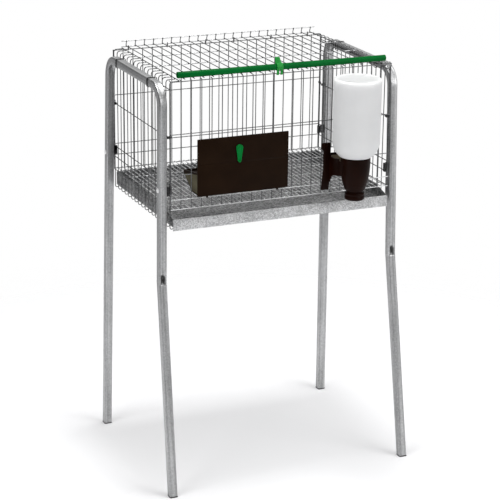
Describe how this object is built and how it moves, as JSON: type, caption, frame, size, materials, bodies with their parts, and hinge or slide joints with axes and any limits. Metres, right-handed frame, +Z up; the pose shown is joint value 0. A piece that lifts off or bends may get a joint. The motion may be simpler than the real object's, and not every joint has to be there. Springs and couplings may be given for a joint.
{
  "type": "elevated small animal cage",
  "caption": "Wire cage for small animals on two bent tube leg frames, with hinged lid, green lid bar and latch, pull-out tray, tilting feeder and hang-on bottle drinker.",
  "frame": {"origin": "middle of the outline on the floor", "axes": "+Z up, the front with feeder and drinker towards -Y, +X to the right seen from the front"},
  "size_m": [0.6488, 0.5336, 1.0444],
  "materials": {
    "frame_tube": "galvanised square tube, satin",
    "cage_wire": "galvanised wire",
    "foot_plug": "dark moulded plastic",
    "clip_steel": "dark steel strip",
    "screw_steel": "bright zinc-plated screw heads",
    "bar_green": "smooth green plastic",
    "latch_green": "smooth light green plastic",
    "tray_sheet": "galvanised sheet with spangle",
    "feeder_brown": "dark brown plastic",
    "drinker_brown": "dark red-brown plastic",
    "bottle_white": "translucent white blown plastic"
  },
  "bodies": {
    "stand": {"left_leg_frame": "frame_tube", "right_leg_frame": "frame_tube", "front_left_foot_plug": "foot_plug", "front_right_foot_plug": "foot_plug", "back_left_foot_plug": "foot_plug", "back_right_foot_plug": "foot_plug", "left_side_panel": "cage_wire", "right_side_panel": "cage_wire", "left_rim": "cage_wire", "right_rim": "cage_wire", "left_tray_hooks": "cage_wire", "right_tray_hooks": "cage_wire", "back_panel": "cage_wire", "front_panel": "cage_wire", "floor_grid": "cage_wire", "corner_clips": "clip_steel", "lower_leg_clips": "clip_steel", "upper_leg_clips": "clip_steel", "tube_clips": "clip_steel", "hinge_rings": "clip_steel", "leg_screws": "screw_steel"},
    "lid": {"lid_grid": "cage_wire", "lid_bar": "bar_green"},
    "latch": {"lid_latch": "latch_green"},
    "tray": {"tray": "tray_sheet"},
    "feeder": {"feeder": "feeder_brown", "feeder_grip": "latch_green"},
    "drinker": {"drinker_base": "drinker_brown", "drinker_cap": "drinker_brown"},
    "bottle": {"drinker_bottle": "bottle_white"}
  },
  "joints": [
    {"name": "lid_hinge", "type": "hinge", "parent": "stand", "child": "lid", "pos_m": [0, 0.24745, 1.0114], "axis": [-1, 0, 0], "range_deg": [0, 125]},
    {"name": "latch_turn", "type": "hinge", "parent": "lid", "child": "latch", "pos_m": [-0.01205, -0.14155, 1.0224], "axis": [-1, 0, 0], "range_deg": [0, 40]},
    {"name": "tray_slide", "type": "slide", "parent": "stand", "child": "tray", "axis": [0, -1, 0], "range_m": [0, 0.36]},
    {"name": "feeder_tilt", "type": "hinge", "parent": "stand", "child": "feeder", "pos_m": [-0.104, -0.14455, 0.7236], "axis": [1, 0, 0], "range_deg": [0, 60]},
    {"name": "drinker_lift", "type": "slide", "parent": "stand", "child": "drinker", "axis": [0, 0, 1], "range_m": [0, 0.012]},
    {"name": "bottle_lift", "type": "slide", "parent": "drinker", "child": "bottle", "axis": [0, 0, 1], "range_m": [0, 0.06]}
  ]
}
